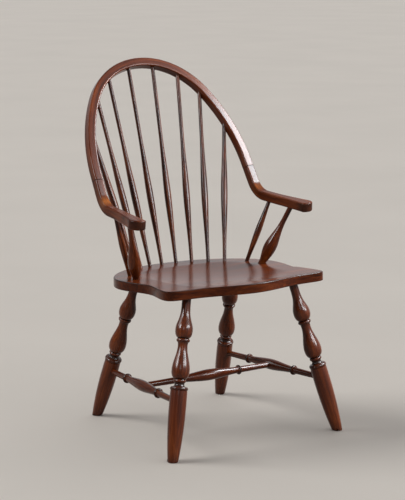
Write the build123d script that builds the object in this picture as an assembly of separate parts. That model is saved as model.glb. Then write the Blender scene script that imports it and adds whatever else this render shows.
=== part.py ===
from build123d import *
import math
import os

# Windsor armchair of turned and bent hardwood, in millimetres.
# X runs to the sitter's left, Y to the back and Z up. The origin lies on the floor under the middle.

# Seat plank: plan points are (half width, depth) in the plane of its top
seat_height = 455.8
seat_slope = 2.6
seat_thickness = 27.0
seat_back = 180.5
seat_shoulder = (119.0, 163.0)
seat_haunch = (196.0, 118.0)
seat_lobe = (271.0, -8.0)
seat_waist = (250.5, -140.0)
seat_front_corner = (269.0, -270.0)
seat_corner_radius = 17.0
seat_corner_flare = 3.0
seat_corner_slant = 3.0
seat_front_hollow = (150.0, -284.5)
seat_nose = -317.0
seat_edge_round = 3.0

# Hollow of the seat's top: a smooth patch over a rectangle of the plan, whose border lies above the top
dish_depth = 9.0
dish_half_width = 215.0
dish_front = -300.0
dish_back = 120.0
dish_border_rise = 3.0

# Bow: a bent hoop that leans back, and an arm piece joined to each of its ends
bow_width = 26.0
bow_depth = 28.0
bow_edge_round = 4.5
hoop_lean = 32.2
hoop_apex_height = 1040.8
hoop_apex_back = 314.3
hoop_crown_radius = 222.0
hoop_crown_half_angle = 58.4
hoop_side_radius = 503.0
hoop_end_angle = 88.0
hoop_tail = 20.0
arm_head = 49.0
arm_bend_radius = 76.0
arm_splay = 3.0
arm_fall = 3.5

# Arm in plan: (distance from the bend, offset outwards) along its two edges, which a round end joins
arm_outer_mid = (90.0, 19.5)
arm_outer_end = (164.0, 33.0)
arm_outer_flare = 14.0
arm_inner_mid = (100.0, -10.5)
arm_inner_corner = (188.0, -10.0)
arm_corner_radius = 7.0
dowel_diameter = 10.0
dowel_length = 44.0

# Back spindles stand on an arc of the seat and end at stations along the hoop from its top.
# They share one turning pattern, whose places are shares of the shortest spindle's length.
spindle_arc_radius = 213.5
spindle_arc_centre = -60.0
spindle_pitch = 13.5
spindle_stations = (43.0, 129.0, 213.0, 334.0)
spindle_foot_diameter = 11.0
spindle_swell_diameter = 20.5
spindle_tip_diameter = 11.6
spindle_foot_length = 22.0
spindle_swell_share = 0.4574
spindle_tip_share = 0.8944
spindle_tenon = 18.0

# Arm spindles and arm posts: foot in plan, head along and across the arm, and shares of the post's length
arm_spindle_foot = (205.8, 37.7)
arm_spindle_head = (22.5, 1.5)
arm_spindle_end_diameter = 11.6
arm_spindle_swell_diameter = 19.0
post_foot = (219.6, -22.0)
post_head = (121.0, 7.0)
post_foot_diameter = 21.5
post_bulb_diameter = 37.0
post_head_diameter = 15.0
post_foot_length = 7.0
post_foot_flare = 0.2
post_bulb_share = 0.2121
post_neck_share = 0.7232
post_tenon = 17.0
head_reach = 4.0

# Legs: where the axis meets the floor and the seat's underside, then the turning downwards
front_foot = (285.0, -317.5)
front_leg_top = (181.0, -228.5)
rear_foot = (223.0, 207.5)
rear_leg_top = (171.0, 63.5)
leg_tenon = 18.0
leg_neck_diameter = 25.5
leg_neck_length = 32.0
upper_bulb_diameter = 49.0
upper_flare_length = 63.0
upper_bulb_base = 23.0
bulb_base_pitch = 0.6
bead_groove_diameter = 30.0
upper_bead_diameter = 38.0
upper_bead_width = 10.5
lower_neck_diameter = 27.6
lower_neck_length = 15.0
lower_neck_taper = 0.3
lower_bulb_diameter = 50.7
lower_flare_length = 62.0
lower_bulb_base = 26.0
lower_bead_diameter = 35.5
lower_bead_width = 9.0
cove_diameter = 27.0
cove_length = 11.5
cove_low_share = 0.333
collar_seat_diameter = 43.0
collar_diameter = 50.5
collar_width = 11.0
foot_top_diameter = 47.0
foot_top_flare = 0.05
foot_belly_diameter = 48.2
foot_belly_drop = 45.0
foot_end_diameter = 29.5
foot_chamfer = 2.5

# Stretchers: two side ones between the legs, and a cross one between those
front_stretcher_height = 157.0
rear_stretcher_height = 147.0
stretcher_end_diameter = 17.2
stretcher_end_length = 40.0
stretcher_bead_diameter = 29.0
stretcher_bead_width = 9.5
stretcher_bead_seat = 19.0
stretcher_swell_flare = 0.03
side_swell_diameter = 32.5
side_bead_offset = 102.0
cross_swell_diameter = 33.5
cross_bead_offset = 107.0
tenon_stop = 3.0

# Fits of the glued joints, and how far outside a piece a drill starts
joint_clearance = 0.1
socket_end_gap = 0.5
drill_lead = 50.0

LEFT, RIGHT = 1, -1

slope = math.radians(seat_slope)
seat_plane = Plane((0, 0, seat_height), x_dir=(1, 0, 0), z_dir=(0, math.sin(slope), math.cos(slope)))


def seat_point(x, y, depth=0.0):
    """Point over a plan position, on the plane of the seat's top or a depth below it."""
    return seat_plane.from_local_coords(Vector(x, y, -depth))


def half(radius, station):
    """Point of a half outline, at a radius from the axis and a distance along it."""
    return Vector(radius, 0, station)


def turned(*edges):
    """Turning about Z whose half outline is closed along the axis."""
    outline = edges[0]
    for edge in edges[1:]:
        outline = outline + edge
    first, last = edges[0] @ 0, edges[-1] @ 1
    outline = outline + Line(last, half(0, last.Z)) + Line(half(0, last.Z), half(0, first.Z))
    outline = outline + Line(half(0, first.Z), first)
    return revolve(make_face(outline.edges()), Axis.Z)


def bead(seat_radius, radius, start, width):
    """Round ring of a turning that stands proud of its seat."""
    middle, end = half(radius, start + width / 2), half(seat_radius, start + width)
    return ThreePointArc(half(seat_radius, start), middle, end)


def along(start, end):
    """Plane at the start of a stick whose Z axis runs to its end."""
    return Plane(start, z_dir=end - start)


def socket(start, end, diameter, lead):
    """Drill for a tenon that runs from start to end, entering from a lead before the start."""
    direction = (end - start).normalized()
    length = (end - start).length + lead + socket_end_gap
    drill = Cylinder(diameter / 2 + joint_clearance, length, align=(Align.CENTER, Align.CENTER, Align.MIN))
    return Plane(start - direction * lead, z_dir=direction) * drill


# Bow geometry, worked out in the plane of the hoop
lean = math.radians(hoop_lean)
crown = math.radians(hoop_crown_half_angle)
hoop_end = math.radians(hoop_end_angle)
hoop_front = Vector(0, -math.cos(lean), math.sin(lean))
hoop_plane = Plane((0, hoop_apex_back, hoop_apex_height), x_dir=(1, 0, 0), z_dir=hoop_front)
side_centre_x = (hoop_crown_radius - hoop_side_radius) * math.sin(crown)
side_centre_drop = hoop_crown_radius - (hoop_crown_radius - hoop_side_radius) * math.cos(crown)


def hoop_angle(station):
    """Angle that the hoop has turned through at a distance along it from the top."""
    crown_length = hoop_crown_radius * crown
    if station <= crown_length:
        return station / hoop_crown_radius
    return min(crown + (station - crown_length) / hoop_side_radius, hoop_end)


def hoop_point(angle, side=LEFT):
    """Point of the hoop's centre line where it has turned through an angle."""
    if angle <= crown:
        x = hoop_crown_radius * math.sin(angle)
        drop = hoop_crown_radius * (1 - math.cos(angle))
    else:
        x = side_centre_x + hoop_side_radius * math.sin(angle)
        drop = side_centre_drop - hoop_side_radius * math.cos(angle)
    return hoop_plane.from_local_coords(Vector(side * x, -drop, 0))


def hoop_tangent(side):
    """Direction of the hoop's straight end, downwards."""
    local = Vector(side * math.cos(hoop_end), -math.sin(hoop_end), 0)
    return hoop_plane.x_dir * local.X + hoop_plane.y_dir * local.Y


def seam_point(side):
    """Centre of the joint between the hoop and an arm piece."""
    return hoop_point(hoop_end, side) + hoop_tangent(side) * hoop_tail


def bow_section(origin, direction):
    """Cross-section of the bow, its depth square to the plane of the hoop."""
    plane = Plane(origin, x_dir=direction.cross(hoop_front), z_dir=direction)
    return plane * RectangleRounded(bow_width, bow_depth, bow_edge_round)


def make_hoop_blank():
    """Bent hoop from seam to seam, before it is drilled."""
    side_middle = (crown + hoop_end) / 2
    path = Line(seam_point(RIGHT), hoop_point(hoop_end, RIGHT))
    path = path + ThreePointArc(
        hoop_point(hoop_end, RIGHT), hoop_point(side_middle, RIGHT), hoop_point(crown, RIGHT)
    )
    path = path + ThreePointArc(hoop_point(crown, RIGHT), hoop_point(0), hoop_point(crown, LEFT))
    path = path + ThreePointArc(
        hoop_point(crown, LEFT), hoop_point(side_middle, LEFT), hoop_point(hoop_end, LEFT)
    )
    path = path + Line(hoop_point(hoop_end, LEFT), seam_point(LEFT))
    return sweep(bow_section(seam_point(RIGHT), -hoop_tangent(RIGHT)), path=Wire(path.edges()))


# Arm geometry on the sitter's left
head_direction = hoop_tangent(LEFT)
splay, fall = math.radians(arm_splay), math.radians(arm_fall)
arm_direction = Vector(math.sin(splay), -math.cos(splay) * math.cos(fall), -math.sin(fall)).normalized()
bend_angle = math.acos(head_direction.dot(arm_direction))
bend_inward = (arm_direction - head_direction * math.cos(bend_angle)).normalized()
bend_start = seam_point(LEFT) + head_direction * arm_head


def bend_point(angle):
    """Point of the arm's centre line where its bend has turned through an angle."""
    forward = head_direction * math.sin(angle) + bend_inward * (1 - math.cos(angle))
    return bend_start + forward * arm_bend_radius


bend_axis = head_direction.cross(bend_inward)
bend_outward_end = bend_inward * math.cos(bend_angle) - head_direction * math.sin(bend_angle)
arm_up = bend_outward_end * hoop_front.dot(bend_inward) + bend_axis * hoop_front.dot(bend_axis)
arm_plane = Plane(bend_point(bend_angle), x_dir=arm_direction, z_dir=arm_up)


def arm_point(distance, offset, side):
    """Point on the middle plane of an arm, along it from its bend and outwards from its centre line."""
    point = arm_plane.from_local_coords(Vector(distance, offset, 0))
    return Vector(side * point.X, point.Y, point.Z)


def make_arm_blank():
    """Arm piece of the sitter's left: straight head, bend, and a round-ended hand, before drilling."""
    path = Line(seam_point(LEFT), bend_start)
    path = path + ThreePointArc(bend_start, bend_point(bend_angle / 2), bend_point(bend_angle))
    neck = sweep(bow_section(seam_point(LEFT), head_direction), path=Wire(path.edges()))
    outer_start, inner_start = (0.0, bow_width / 2), (0.0, -bow_width / 2)
    flare = math.radians(arm_outer_flare)
    widening = (math.cos(flare), math.sin(flare))
    outline = Spline(outer_start, arm_outer_mid, arm_outer_end, tangents=((1, 0), widening))
    outline = outline + TangentArc(arm_outer_end, arm_inner_corner, tangent=widening)
    outline = outline + Spline(arm_inner_corner, arm_inner_mid, inner_start, tangents=((-1, 0), (-1, 0)))
    outline = outline + Line(inner_start, outer_start)
    plan = make_face(outline.edges())
    inner_corner = plan.vertices().sort_by_distance(Vector(*arm_inner_corner))[0]
    plan = fillet(inner_corner, arm_corner_radius)
    hand = Pos(0, 0, -bow_depth / 2) * extrude(plan, bow_depth)
    rim = hand.faces().filter_by(Axis.Z).edges().filter_by(lambda edge: edge.center().X > bow_edge_round)
    hand = fillet(rim, bow_edge_round)
    return neck + arm_plane * hand


# Ends of every stick, as pairs of points
def back_spindle_ends(number):
    """Foot and head of a back spindle, counted from the sitter's right."""
    count = len(spindle_stations)
    side = RIGHT if number <= count else LEFT
    place = count - number if number <= count else number - count - 1
    angle = math.radians(spindle_pitch * (place + 0.5))
    across_seat, along_seat = spindle_arc_radius * math.sin(angle), spindle_arc_radius * math.cos(angle)
    foot = seat_point(side * across_seat, spindle_arc_centre + along_seat)
    return foot, hoop_point(hoop_angle(spindle_stations[place]), side)


def arm_spindle_ends(side):
    """Foot and head of an arm spindle."""
    return seat_point(side * arm_spindle_foot[0], arm_spindle_foot[1]), arm_point(*arm_spindle_head, side)


def post_ends(side):
    """Foot and head of an arm post."""
    return seat_point(side * post_foot[0], post_foot[1]), arm_point(*post_head, side)


def leg_ends(end, side):
    """Top of a leg's axis in the seat's underside, and its foot on the floor."""
    top_plan, foot_plan = (front_leg_top, front_foot) if end == "front" else (rear_leg_top, rear_foot)
    top = seat_point(side * top_plan[0], top_plan[1], seat_thickness)
    return top, Vector(side * foot_plan[0], foot_plan[1], 0)


def leg_point(end, side, height):
    """Point of a leg's axis at a height above the floor."""
    top, foot = leg_ends(end, side)
    return foot + (top - foot) * (height / top.Z)


def side_stretcher_ends(side):
    """Ends of a side stretcher's axis, on the axes of the rear and the front leg."""
    return leg_point("rear", side, rear_stretcher_height), leg_point("front", side, front_stretcher_height)


def cross_stretcher_ends():
    """Ends of the cross stretcher's axis, on the axes of the side stretchers."""
    middles = []
    for side in (RIGHT, LEFT):
        rear, front = side_stretcher_ends(side)
        middles.append((rear + front) * 0.5)
    return middles


def tenon_in(start, end, length):
    """Point beyond the start of a stick, by the length of its tenon."""
    return start - (end - start).normalized() * length


def past(start, end, length):
    """Point beyond the end of a stick, by a length."""
    return end + (end - start).normalized() * length


# Turnings
def make_back_spindle(number):
    """Spindle that swells a little below the middle, whatever its length."""
    foot, head = back_spindle_ends(number)
    foot_radius, tip_radius = spindle_foot_diameter / 2, spindle_tip_diameter / 2
    top = (head - foot).length + head_reach
    shortest_foot, shortest_head = back_spindle_ends(1)
    pattern = (shortest_head - shortest_foot).length
    swell_at, tip_at = spindle_swell_share * pattern, spindle_tip_share * pattern
    body = turned(
        Line(half(foot_radius, -spindle_tenon), half(foot_radius, spindle_foot_length)),
        Spline(
            half(foot_radius, spindle_foot_length),
            half(spindle_swell_diameter / 2, swell_at),
            half(tip_radius, tip_at),
            tangents=(Vector(0, 0, 1), Vector(0, 0, 1)),
        ),
        Line(half(tip_radius, tip_at), half(tip_radius, top)),
    )
    return along(foot, head) * body


def make_arm_spindle(side):
    """Short spindle under an arm, swelling in its middle."""
    foot, head = arm_spindle_ends(side)
    end_radius = arm_spindle_end_diameter / 2
    length = (head - foot).length
    shoulder = length - bow_depth / 2
    body = turned(
        Line(half(end_radius, -spindle_tenon), half(end_radius, 0)),
        Spline(
            half(end_radius, 0),
            half(arm_spindle_swell_diameter / 2, shoulder / 2),
            half(end_radius, shoulder),
            tangents=(Vector(0, 0, 1), Vector(0, 0, 1)),
        ),
        Line(half(end_radius, shoulder), half(end_radius, length + head_reach)),
    )
    return along(foot, head) * body


def make_post(side):
    """Arm post with a vase-shaped bulb above a short foot."""
    foot, head = post_ends(side)
    foot_radius, head_radius = post_foot_diameter / 2, post_head_diameter / 2
    length = (head - foot).length
    bulb_at, neck_at = post_bulb_share * length, post_neck_share * length
    body = turned(
        Line(half(foot_radius, -post_tenon), half(foot_radius, post_foot_length)),
        Spline(
            half(foot_radius, post_foot_length),
            half(post_bulb_diameter / 2, bulb_at),
            half(head_radius, neck_at),
            tangents=(Vector(post_foot_flare, 0, 1), Vector(0, 0, 1)),
        ),
        Line(half(head_radius, neck_at), half(head_radius, length + head_reach)),
    )
    return along(foot, head) * body


def make_leg_blank(end, side):
    """Leg turned with two vase shapes, beads and a collar over a tapered foot, cut level at the floor."""
    top, foot = leg_ends(end, side)
    length = (foot - top).length
    below_floor = foot_end_diameter
    neck, groove = leg_neck_diameter / 2, bead_groove_diameter / 2
    lower_neck = lower_neck_diameter / 2
    upper_bulb_at = leg_neck_length + upper_flare_length
    upper_bead_at = upper_bulb_at + upper_bulb_base
    lower_neck_at = upper_bead_at + upper_bead_width
    lower_flare_at = lower_neck_at + lower_neck_length
    lower_bulb_at = lower_flare_at + lower_flare_length
    lower_bead_at = lower_bulb_at + lower_bulb_base
    cove_at = lower_bead_at + lower_bead_width
    collar_at = cove_at + cove_length
    foot_at = collar_at + collar_width
    belly_at = foot_at + foot_belly_drop
    collar_seat = collar_seat_diameter / 2
    belly = half(foot_belly_diameter / 2, belly_at)
    taper = TangentArc(belly, half(foot_end_diameter / 2, length), tangent=(0, 0, 1))
    floor_end = (taper @ 1) + (taper % 1) * below_floor
    body = turned(
        Line(half(neck, -leg_tenon), half(neck, leg_neck_length)),
        Spline(
            half(neck, leg_neck_length),
            half(upper_bulb_diameter / 2, upper_bulb_at),
            half(groove, upper_bead_at),
            tangents=(Vector(0, 0, 1), Vector(-1, 0, bulb_base_pitch)),
        ),
        bead(groove, upper_bead_diameter / 2, upper_bead_at, upper_bead_width),
        Spline(
            half(groove, lower_neck_at),
            half(lower_neck, lower_flare_at),
            half(lower_bulb_diameter / 2, lower_bulb_at),
            half(groove, lower_bead_at),
            tangents=(Vector(-lower_neck_taper, 0, 1), Vector(-1, 0, bulb_base_pitch)),
        ),
        bead(groove, lower_bead_diameter / 2, lower_bead_at, lower_bead_width),
        ThreePointArc(
            half(groove, cove_at),
            half(cove_diameter / 2, cove_at + cove_length * cove_low_share),
            half(collar_seat, collar_at),
        ),
        bead(collar_seat, collar_diameter / 2, collar_at, collar_width),
        Line(half(collar_seat, foot_at), half(foot_top_diameter / 2, foot_at)),
        Spline(
            half(foot_top_diameter / 2, foot_at),
            belly,
            tangents=(Vector(foot_top_flare, 0, 1), Vector(0, 0, 1)),
        ),
        taper,
        Line(taper @ 1, floor_end),
    )
    leg = along(top, foot) * body
    floor = Location(foot) * Box(length, length, length, align=(Align.CENTER, Align.CENTER, Align.MAX))
    leg = leg - floor
    return chamfer(leg.faces().sort_by(Axis.Z)[0].edges(), foot_chamfer)


def make_stretcher_blank(start, end, swell_diameter, bead_offset):
    """Stretcher that swells between two beads, its tenons ending short of the axes that they reach."""
    length = (end - start).length
    end_radius, seat_radius = stretcher_end_diameter / 2, stretcher_bead_seat / 2
    reach = length / 2 - tenon_stop
    inner, outer = bead_offset - stretcher_bead_width / 2, bead_offset + stretcher_bead_width / 2
    bead_radius = stretcher_bead_diameter / 2
    body = turned(
        Line(half(end_radius, -reach), half(end_radius, stretcher_end_length - reach)),
        Line(half(end_radius, stretcher_end_length - reach), half(seat_radius, -outer)),
        bead(seat_radius, bead_radius, -outer, stretcher_bead_width),
        Spline(
            half(seat_radius, -inner),
            half(swell_diameter / 2, 0),
            half(seat_radius, inner),
            tangents=(Vector(stretcher_swell_flare, 0, 1), Vector(-stretcher_swell_flare, 0, 1)),
        ),
        bead(seat_radius, bead_radius, inner, stretcher_bead_width),
        Line(half(seat_radius, outer), half(end_radius, reach - stretcher_end_length)),
        Line(half(end_radius, reach - stretcher_end_length), half(end_radius, reach)),
    )
    return Plane((start + end) * 0.5, z_dir=end - start) * body


# Seat
def across(points):
    """The same plan points on the sitter's right, in the opposite order."""
    return [(-x, y) for x, y in reversed(points)]


def seat_outline():
    """Shield-shaped plan: round back, lobes under the arms, a waist, flared corners and a bowed front."""
    corner_x, corner_y = seat_front_corner
    slant = math.radians(seat_corner_slant)
    side_end = (corner_x, corner_y + seat_corner_radius)
    front_start = (corner_x - seat_corner_radius, corner_y - seat_corner_flare)
    flank = [seat_shoulder, seat_haunch, seat_lobe, seat_waist, side_end]
    back = Spline(
        *across(flank),
        (0, seat_back),
        *flank,
        tangents=((math.sin(slant), math.cos(slant)), (math.sin(slant), -math.cos(slant))),
    )
    corner = TangentArc(side_end, front_start, tangent=back % 1)
    inward = corner % 1
    scoop = [front_start, seat_front_hollow]
    front = Spline(*scoop, (0, seat_nose), *across(scoop), tangents=(inward, (inward.X, -inward.Y)))
    return [back, corner, front, mirror(corner, Plane.YZ)]


def make_dish():
    """Cutter for the hollow: a thick block over a smooth patch whose inner poles are pulled down."""
    degree = 4
    poles = range(degree + 1)
    centre_share = (1 - 2 * 0.5 ** degree) ** 2
    pull = (dish_depth + dish_border_rise) / centre_share
    grid = []
    for i in poles:
        x = dish_half_width * (2 * i / degree - 1)
        row = []
        for j in poles:
            y = dish_front + (dish_back - dish_front) * j / degree
            inner = 0 < i < degree and 0 < j < degree
            row.append(Vector(x, y, dish_border_rise - (pull if inner else 0.0)))
        grid.append(row)
    return extrude(Face.make_bezier_surface(grid), pull, dir=(0, 0, 1))


def make_seat():
    """Plank with a hollowed top, eased edges and a socket for every leg, spindle and post."""
    plank = extrude(make_face(seat_outline()), -seat_thickness)
    plank = fillet(plank.faces().filter_by(Axis.Z).edges(), seat_edge_round)
    seat = seat_plane * (plank - make_dish())
    drills = []
    for side in (RIGHT, LEFT):
        for end in ("front", "rear"):
            top_point, foot = leg_ends(end, side)
            bottom = tenon_in(top_point, foot, leg_tenon)
            drills.append(socket(top_point, bottom, leg_neck_diameter, drill_lead))
        foot, head = arm_spindle_ends(side)
        bottom = tenon_in(foot, head, spindle_tenon)
        drills.append(socket(foot, bottom, arm_spindle_end_diameter, drill_lead))
        foot, head = post_ends(side)
        bottom = tenon_in(foot, head, post_tenon)
        drills.append(socket(foot, bottom, post_foot_diameter, drill_lead))
    for number in range(1, 2 * len(spindle_stations) + 1):
        foot, head = back_spindle_ends(number)
        bottom = tenon_in(foot, head, spindle_tenon)
        drills.append(socket(foot, bottom, spindle_foot_diameter, drill_lead))
    for drill in drills:
        seat = seat - drill
    return seat


# Drilled pieces and the dowels between them
def dowel_ends(side):
    """Ends of the dowel inside a seam, upper end first."""
    reach = hoop_tangent(side) * (dowel_length / 2)
    return seam_point(side) - reach, seam_point(side) + reach


def make_hoop():
    """Hoop with a socket for each back spindle and for the dowel at each end."""
    hoop = make_hoop_blank()
    for number in range(1, 2 * len(spindle_stations) + 1):
        foot, head = back_spindle_ends(number)
        hoop = hoop - socket(head, past(foot, head, head_reach), spindle_tip_diameter, drill_lead)
    for side in (RIGHT, LEFT):
        upper, lower = dowel_ends(side)
        hoop = hoop - socket(lower, upper, dowel_diameter, 0)
    return hoop


def make_arm():
    """Arm piece of the sitter's left, with sockets for its spindle, its post and the dowel."""
    arm = make_arm_blank()
    foot, head = arm_spindle_ends(LEFT)
    arm = arm - socket(head, past(foot, head, head_reach), arm_spindle_end_diameter, drill_lead)
    foot, head = post_ends(LEFT)
    arm = arm - socket(head, past(foot, head, head_reach), post_head_diameter, drill_lead)
    upper, lower = dowel_ends(LEFT)
    return arm - socket(upper, lower, dowel_diameter, 0)


def make_dowel(side):
    """Plain dowel that holds an arm piece to the hoop."""
    upper, lower = dowel_ends(side)
    pin = Cylinder(dowel_diameter / 2, dowel_length, align=(Align.CENTER, Align.CENTER, Align.MIN))
    return along(upper, lower) * pin


def make_leg(end, side):
    """Leg with a socket for its end of the side stretcher."""
    rear, front = side_stretcher_ends(side)
    start, finish = (rear, front) if end == "front" else (front, rear)
    mouth, tip = past(start, finish, -stretcher_end_length), past(start, finish, -tenon_stop)
    return make_leg_blank(end, side) - socket(mouth, tip, stretcher_end_diameter, 0)


def make_side_stretcher(side):
    """Side stretcher with a socket for its end of the cross stretcher."""
    rear, front = side_stretcher_ends(side)
    blank = make_stretcher_blank(rear, front, side_swell_diameter, side_bead_offset)
    right, left = cross_stretcher_ends()
    start, finish = (right, left) if side == LEFT else (left, right)
    mouth, tip = past(start, finish, -stretcher_end_length), past(start, finish, -tenon_stop)
    return blank - socket(mouth, tip, stretcher_end_diameter, 0)


def write(name, shape):
    """Write one piece to its own file."""
    export_step(shape, f"parts/{name}.step")


os.makedirs("parts", exist_ok=True)
write("seat", make_seat())
write("bow_hoop", make_hoop())
arm_left = make_arm()
write("arm_left", arm_left)
write("arm_right", mirror(arm_left, Plane.YZ))
write("bow_joint_dowels", Compound([make_dowel(LEFT), make_dowel(RIGHT)]))
for number in range(1, 2 * len(spindle_stations) + 1):
    write(f"back_spindle_{number}", make_back_spindle(number))
for side, word in ((LEFT, "left"), (RIGHT, "right")):
    write(f"arm_spindle_{word}", make_arm_spindle(side))
    write(f"arm_post_{word}", make_post(side))
    write(f"front_leg_{word}", make_leg("front", side))
    write(f"rear_leg_{word}", make_leg("rear", side))
    write(f"side_stretcher_{word}", make_side_stretcher(side))
cross_ends = cross_stretcher_ends()
write("cross_stretcher", make_stretcher_blank(*cross_ends, cross_swell_diameter, cross_bead_offset))
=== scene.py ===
import math

import bpy
import numpy as np
from bpy.props import FloatProperty, FloatVectorProperty, IntProperty, PointerProperty
from mathutils import Matrix, Vector


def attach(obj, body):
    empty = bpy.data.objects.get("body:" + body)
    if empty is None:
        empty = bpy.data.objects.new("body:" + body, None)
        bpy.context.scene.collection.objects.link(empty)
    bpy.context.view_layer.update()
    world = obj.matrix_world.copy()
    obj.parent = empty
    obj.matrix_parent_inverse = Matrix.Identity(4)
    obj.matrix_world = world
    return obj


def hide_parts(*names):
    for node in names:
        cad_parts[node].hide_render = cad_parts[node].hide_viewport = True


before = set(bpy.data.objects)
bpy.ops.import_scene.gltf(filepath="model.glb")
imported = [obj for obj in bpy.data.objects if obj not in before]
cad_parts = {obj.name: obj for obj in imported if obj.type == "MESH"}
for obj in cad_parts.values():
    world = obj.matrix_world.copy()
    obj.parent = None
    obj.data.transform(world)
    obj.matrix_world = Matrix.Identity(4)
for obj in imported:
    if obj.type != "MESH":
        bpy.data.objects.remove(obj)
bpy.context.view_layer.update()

bl_info = {
    "name": "Windsor Armchair",
    "version": (1, 0, 0),
    "blender": (4, 5, 0),
    "location": "3D View > Sidebar > Windsor",
    "description": "Models a stained windsor armchair around its measured frame",
    "category": "Object",
}

SEED = 11
SHARP_ANGLE = math.radians(40)
SAME_POINT = 0.00001  # points nearer than this are one
FACING = 0.9  # least cosine between a direction and the normal of a face that looks along it
UP, DOWN, FORWARD, ACROSS = Vector((0, 0, 1)), Vector((0, 0, -1)), Vector((0, -1, 0)), Vector((1, 0, 0))


# ---------------------------------------------------------------- settings

class WindsorBow(bpy.types.PropertyGroup):
    """Sizes of the bent bow: the hoop and the two arm pieces."""
    width: FloatProperty(
        name="Width", description="Bow across, in the plane of the hoop", default=0.026, unit="LENGTH")
    depth: FloatProperty(
        name="Depth", description="Bow square to the plane of the hoop", default=0.028, unit="LENGTH")
    edge_round: FloatProperty(
        name="Edge round", description="Rounding of the bow's long edges", default=0.0045, unit="LENGTH")
    seam_ease: FloatProperty(
        name="Seam ease", description="Eased edge at the seam of hoop and arm", default=0.0010,
        unit="LENGTH")
    seam_line: FloatProperty(
        name="Seam line", description="Length beside the seam that the dark glaze covers",
        default=0.0022,
        unit="LENGTH")
    lean: FloatProperty(
        name="Lean", description="Angle that the hoop leans back", default=math.radians(32.2),
        unit="ROTATION")
    apex: FloatVectorProperty(
        name="Apex", description="Middle of the bow at the top of the hoop", default=(0, 0.3143, 1.0408),
        subtype="TRANSLATION")
    crown_radius: FloatProperty(
        name="Crown radius", description="Radius of the hoop's top arc", default=0.222, unit="LENGTH")
    crown_angle: FloatProperty(
        name="Crown angle", description="Half the angle of the top arc", default=math.radians(58.4),
        unit="ROTATION")
    side_radius: FloatProperty(
        name="Side radius", description="Radius of the hoop's side arcs", default=0.503, unit="LENGTH")
    end_angle: FloatProperty(
        name="End angle", description="Angle turned where the straight ends start",
        default=math.radians(88),
        unit="ROTATION")
    tail: FloatProperty(
        name="Tail", description="Straight end of the hoop above the seam", default=0.020, unit="LENGTH")
    arm_head: FloatProperty(
        name="Arm head", description="Straight end of the arm below the seam", default=0.049,
        unit="LENGTH")
    bend_radius: FloatProperty(
        name="Bend radius", description="Radius of the arm's bend", default=0.076, unit="LENGTH")
    splay: FloatProperty(
        name="Arm splay", description="Angle that the arms open to the front", default=math.radians(3),
        unit="ROTATION")
    fall: FloatProperty(
        name="Arm fall", description="Angle that the arms fall to the front", default=math.radians(3.5),
        unit="ROTATION")
    outer_mid: FloatVectorProperty(
        name="Outer middle", description="Point of the hand's outer edge, along and outwards", size=2,
        default=(0.090, 0.0195), subtype="TRANSLATION")
    outer_end: FloatVectorProperty(
        name="Outer end", description="Where the outer edge runs into the hand's round end", size=2,
        default=(0.164, 0.033), subtype="TRANSLATION")
    outer_flare: FloatProperty(
        name="Outer flare", description="Angle of the outer edge at the round end",
        default=math.radians(14),
        unit="ROTATION")
    inner_mid: FloatVectorProperty(
        name="Inner middle", description="Point of the hand's inner edge, along and outwards", size=2,
        default=(0.100, -0.0105), subtype="TRANSLATION")
    inner_end: FloatVectorProperty(
        name="Inner end", description="Corner of the round end and the inner edge", size=2,
        default=(0.188, -0.010), subtype="TRANSLATION")
    corner_round: FloatProperty(
        name="Corner round", description="Rounding of that corner", default=0.007, unit="LENGTH")


class WindsorSeat(bpy.types.PropertyGroup):
    """Sizes of the seat plank."""
    height: FloatProperty(
        name="Height", description="Plane of the seat's top above the floor, at the middle",
        default=0.4558,
        unit="LENGTH")
    slope: FloatProperty(
        name="Slope", description="Angle that the seat falls to the back", default=math.radians(2.6),
        unit="ROTATION")
    thickness: FloatProperty(
        name="Thickness", description="Thickness of the plank", default=0.027, unit="LENGTH")
    edge_round: FloatProperty(
        name="Edge round", description="Rounding of the plank's rims", default=0.003, unit="LENGTH")
    dish_depth: FloatProperty(
        name="Dish depth", description="Deepest part of the hollow", default=0.009, unit="LENGTH")
    dish_rise: FloatProperty(
        name="Dish rise", description="How far the hollow's border lies above the top", default=0.003,
        unit="LENGTH")
    dish_half_width: FloatProperty(
        name="Dish half width", description="Half the width of the hollow's patch", default=0.215,
        unit="LENGTH")
    dish_front: FloatProperty(
        name="Dish front", description="Front border of the hollow's patch", default=-0.300,
        unit="LENGTH")
    dish_back: FloatProperty(
        name="Dish back", description="Back border of the hollow's patch", default=0.120, unit="LENGTH")
    rings: IntProperty(
        name="Rings", description="Rings of faces on the seat's top", default=36, min=4, max=80)
    rim_step: FloatProperty(
        name="Rim step", description="Distance between points of the seat's outline", default=0.003,
        unit="LENGTH")
    corner: FloatVectorProperty(
        name="Corner", description="Front corner on the sitter's left, in the plank's plan", size=2,
        default=(0.258, -0.262), subtype="TRANSLATION")
    corner_reach: FloatProperty(
        name="Corner reach", description="How far from the corner the outline is eased", default=0.075,
        unit="LENGTH")
    corner_push: FloatProperty(
        name="Corner push", description="How far the eased corner is brought out again", default=0.0035,
        unit="LENGTH")
    corner_ease: FloatProperty(
        name="Corner ease", description="Length over which the front corners are rounded further",
        default=0.014, unit="LENGTH")


class WindsorTurning(bpy.types.PropertyGroup):
    """How the turned pieces are cut."""
    segments: IntProperty(
        name="Segments", description="Sides of each turned ring", default=64, min=12, max=128)
    outline_slack: FloatProperty(
        name="Outline slack", description="How closely the rings follow the outline", default=0.00002,
        unit="LENGTH", precision=6)
    foot_chamfer: FloatProperty(
        name="Foot chamfer", description="Eased edge under each leg", default=0.0025, unit="LENGTH")
    groove_reach: FloatProperty(
        name="Groove reach", description="Length over which the outline is smoothed to find grooves",
        default=0.007, unit="LENGTH")


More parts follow.
